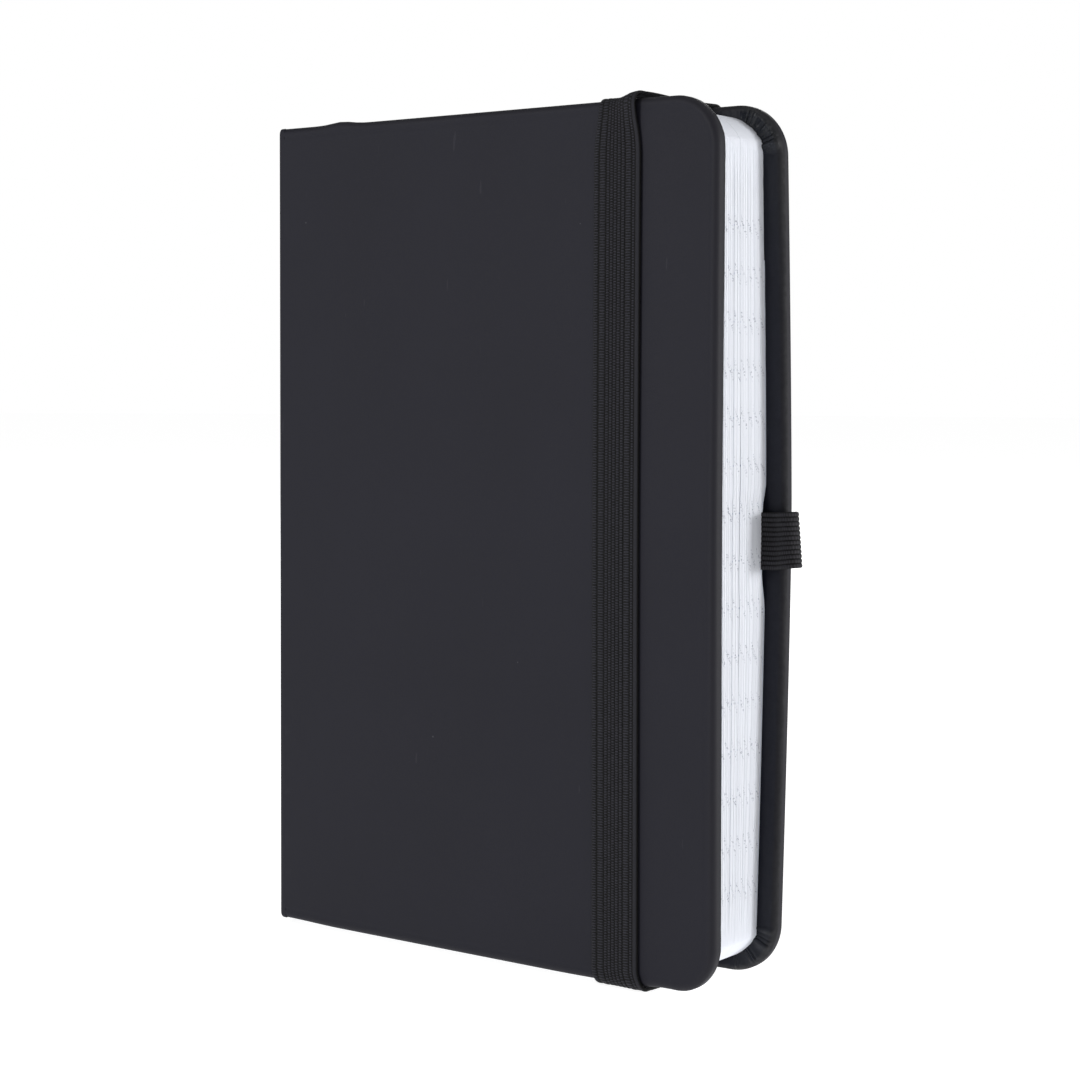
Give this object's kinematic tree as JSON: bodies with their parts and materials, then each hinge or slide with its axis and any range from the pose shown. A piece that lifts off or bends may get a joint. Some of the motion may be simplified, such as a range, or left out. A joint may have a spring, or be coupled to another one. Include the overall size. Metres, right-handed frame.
{
  "type": "pocket notebook",
  "caption": "Pocket notebook with a black soft-touch hard cover, rounded fore-edge corners, ruled pages, an elastic closure and an elastic pen loop.",
  "frame": {"origin": "middle of the underside of the notebook's box, with the notebook standing on its tail edge", "axes": "+X from the spine to the fore-edge, +Y from the front cover to the back cover, +Z from the tail to the head"},
  "size_m": [0.097, 0.0202, 0.1414],
  "materials": {
    "soft_touch_cover": "matte soft-touch",
    "grey_board": "matte",
    "page_paper": "matte, ruled",
    "endpaper": "matte",
    "gauze": "open weave",
    "sewing_thread": "matte",
    "black_elastic": "ribbed weave"
  },
  "bodies": {
    "back_cover": {"back_board": "grey_board", "back_cover_wrap": "soft_touch_cover", "back_gauze_wing": "gauze", "back_pastedown": "endpaper", "pen_loop_tail": "black_elastic", "elastic_head_end": "black_elastic", "elastic_tail_end": "black_elastic"},
    "spine": {"spine_board": "grey_board", "spine_wrap": "soft_touch_cover"},
    "front_cover": {"front_board": "grey_board", "front_cover_wrap": "soft_touch_cover", "front_gauze_wing": "gauze", "front_pastedown": "endpaper"},
    "closure_band": {"elastic_front_run": "black_elastic"},
    "pen_loop_fold": {"pen_loop": "black_elastic"},
    "front_leaf": {"front_flyleaf": "endpaper"},
    "back_leaf": {"back_flyleaf": "endpaper"},
    "page_section_1": {"section_1": "page_paper", "sewing_thread_1": "sewing_thread"},
    "page_section_2": {"section_2": "page_paper", "sewing_thread_2": "sewing_thread"},
    "page_section_3": {"section_3": "page_paper", "sewing_thread_3": "sewing_thread"},
    "page_section_4": {"section_4": "page_paper", "sewing_thread_4": "sewing_thread"},
    "page_section_5": {"section_5": "page_paper", "sewing_thread_5": "sewing_thread"},
    "page_section_6": {"section_6": "page_paper", "sewing_thread_6": "sewing_thread"},
    "page_section_7": {"section_7": "page_paper", "sewing_thread_7": "sewing_thread"},
    "page_section_8": {"section_8": "page_paper", "sewing_thread_8": "sewing_thread"}
  },
  "joints": [
    {"name": "front_cover_hinge", "type": "hinge", "parent": "spine", "child": "front_cover", "pos_m": [-0.0485, -0.0094, 0.0707], "axis": [0, 0, -1], "range_deg": [0, 90]},
    {"name": "spine_hinge", "type": "hinge", "parent": "back_cover", "child": "spine", "pos_m": [-0.0485, 0.0094, 0.0707], "axis": [0, 0, -1], "range_deg": [0, 90]},
    {"name": "section_8_turn", "type": "hinge", "parent": "back_cover", "child": "page_section_8", "pos_m": [-0.0457, 0.0062, 0.0707], "axis": [0, 0, -1], "range_deg": [0, 5]},
    {"name": "section_7_turn", "type": "hinge", "parent": "page_section_8", "child": "page_section_7", "pos_m": [-0.0457, 0.00465, 0.0707], "axis": [0, 0, -1], "range_deg": [0, 5]},
    {"name": "section_6_turn", "type": "hinge", "parent": "page_section_7", "child": "page_section_6", "pos_m": [-0.0457, 0.00309, 0.0707], "axis": [0, 0, -1], "range_deg": [0, 5]},
    {"name": "section_5_turn", "type": "hinge", "parent": "page_section_6", "child": "page_section_5", "pos_m": [-0.0457, 0.00153, 0.0707], "axis": [0, 0, -1], "range_deg": [0, 5]},
    {"name": "section_4_turn", "type": "hinge", "parent": "page_section_5", "child": "page_section_4", "pos_m": [-0.0457, -0.00003, 0.0707], "axis": [0, 0, -1], "range_deg": [0, 131]},
    {"name": "section_3_turn", "type": "hinge", "parent": "page_section_4", "child": "page_section_3", "pos_m": [-0.0457, -0.00158, 0.0707], "axis": [0, 0, -1], "range_deg": [0, 9.5]},
    {"name": "section_2_turn", "type": "hinge", "parent": "page_section_3", "child": "page_section_2", "pos_m": [-0.0457, -0.00314, 0.0707], "axis": [0, 0, -1], "range_deg": [0, 7.7]},
    {"name": "section_1_turn", "type": "hinge", "parent": "page_section_2", "child": "page_section_1", "pos_m": [-0.0457, -0.0047, 0.0707], "axis": [0, 0, -1], "range_deg": [0, 6.8]},
    {"name": "front_leaf_turn", "type": "hinge", "parent": "page_section_1", "child": "front_leaf", "pos_m": [-0.0457, -0.00626, 0.0707], "axis": [0, 0, -1], "range_deg": [0, 6]},
    {"name": "back_leaf_turn", "type": "hinge", "parent": "back_cover", "child": "back_leaf", "pos_m": [-0.0457, 0.00644, 0.0707], "axis": [0, 0, -1], "range_deg": [0, 2.5]},
    {"name": "closure_band_swing", "type": "hinge", "parent": "back_cover", "child": "closure_band", "pos_m": [0.02624, 0.00055, 0.0707], "axis": [0, 0, 1], "range_deg": [0, 180], "deforming": ["elastic_front_run"]},
    {"name": "pen_loop_hinge", "type": "hinge", "parent": "back_cover", "child": "pen_loop_fold", "pos_m": [0.0435, 0.00575, 0.0713], "axis": [0, 0, 1], "range_deg": [-80, 45]}
  ],
  "couplings": [
    {"joint": "spine_hinge", "follows": "front_cover_hinge", "ratio": 1},
    {"joint": "section_8_turn", "follows": "front_cover_hinge", "ratio": 0.05},
    {"joint": "section_7_turn", "follows": "front_cover_hinge", "ratio": 0.05},
    {"joint": "section_6_turn", "follows": "front_cover_hinge", "ratio": 0.05},
    {"joint": "section_5_turn", "follows": "front_cover_hinge", "ratio": 0.05},
    {"joint": "section_4_turn", "follows": "front_cover_hinge", "ratio": 1.45},
    {"joint": "section_3_turn", "follows": "front_cover_hinge", "ratio": 0.1},
    {"joint": "section_2_turn", "follows": "front_cover_hinge", "ratio": 0.08},
    {"joint": "section_1_turn", "follows": "front_cover_hinge", "ratio": 0.07},
    {"joint": "front_leaf_turn", "follows": "front_cover_hinge", "ratio": 0.06},
    {"joint": "back_leaf_turn", "follows": "front_cover_hinge", "ratio": 0.02},
    {"joint": "closure_band_swing", "follows": "front_cover_hinge", "ratio": 2}
  ]
}
